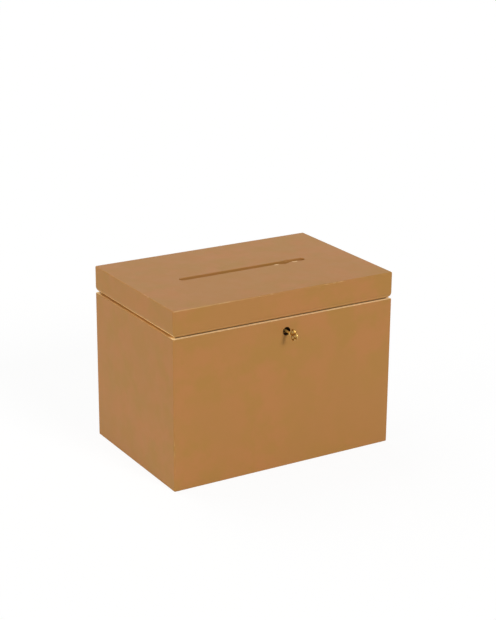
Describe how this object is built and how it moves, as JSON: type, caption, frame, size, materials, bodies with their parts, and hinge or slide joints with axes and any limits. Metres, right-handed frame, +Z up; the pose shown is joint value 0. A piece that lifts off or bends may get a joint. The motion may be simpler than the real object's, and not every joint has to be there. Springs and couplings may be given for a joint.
{
  "type": "lockable envelope box",
  "caption": "Painted wooden box with a hinged lid, a long slot in the lid for envelopes and a small brass lock with its key in the front.",
  "frame": {"origin": "centre of the underside, on the surface the box stands on", "axes": "+X along the width to the right seen from the front, +Y from the front to the hinged back, +Z up"},
  "size_m": [0.305, 0.2276, 0.224],
  "materials": {
    "painted_wood": "satin paint",
    "brass": "polished",
    "steel": "brushed"
  },
  "bodies": {
    "box": {"front_wall": "painted_wood", "back_wall": "painted_wood", "left_wall": "painted_wood", "right_wall": "painted_wood", "bottom_panel": "painted_wood", "hinge_left_body_leaf": "brass", "hinge_right_body_leaf": "brass", "hinge_left_pin": "brass", "hinge_right_pin": "brass", "hinge_left_body_screw_1": "brass", "hinge_left_body_screw_2": "brass", "hinge_right_body_screw_1": "brass", "hinge_right_body_screw_2": "brass", "lock_plate": "brass", "lock_case": "brass", "lock_screw_1": "brass", "lock_screw_2": "brass", "lock_screw_3": "brass", "lock_screw_4": "brass", "bolt_spring": "steel"},
    "lid": {"lid_panel": "painted_wood", "lid_front_rail": "painted_wood", "lid_back_rail": "painted_wood", "lid_left_rail": "painted_wood", "lid_right_rail": "painted_wood", "hinge_left_lid_leaf": "brass", "hinge_right_lid_leaf": "brass", "hinge_left_lid_screw_1": "brass", "hinge_left_lid_screw_2": "brass", "hinge_right_lid_screw_1": "brass", "hinge_right_lid_screw_2": "brass", "strike_plate": "brass", "strike_screw_1": "brass", "strike_screw_2": "brass"},
    "key_hub": {"lock_hub": "brass"},
    "key": {"key": "brass"},
    "bolt": {"lock_bolt": "steel"}
  },
  "joints": [
    {"name": "lid_hinge", "type": "hinge", "parent": "box", "child": "lid", "pos_m": [0, 0.09892, 0.1902], "axis": [-1, 0, 0], "range_deg": [0, 98]},
    {"name": "key_turn", "type": "hinge", "parent": "box", "child": "key_hub", "pos_m": [0, -0.0925, 0.174], "axis": [0, 1, 0], "range_deg": [0, 90]},
    {"name": "key_pull", "type": "slide", "parent": "key_hub", "child": "key", "axis": [0, -1, 0], "range_m": [0, 0.032]},
    {"name": "bolt_throw", "type": "slide", "parent": "box", "child": "bolt", "axis": [1, 0, 0], "range_m": [0, 0.0065]}
  ],
  "couplings": [
    {"joint": "key_turn", "follows": "bolt_throw", "rad_per_m": 241.46}
  ]
}
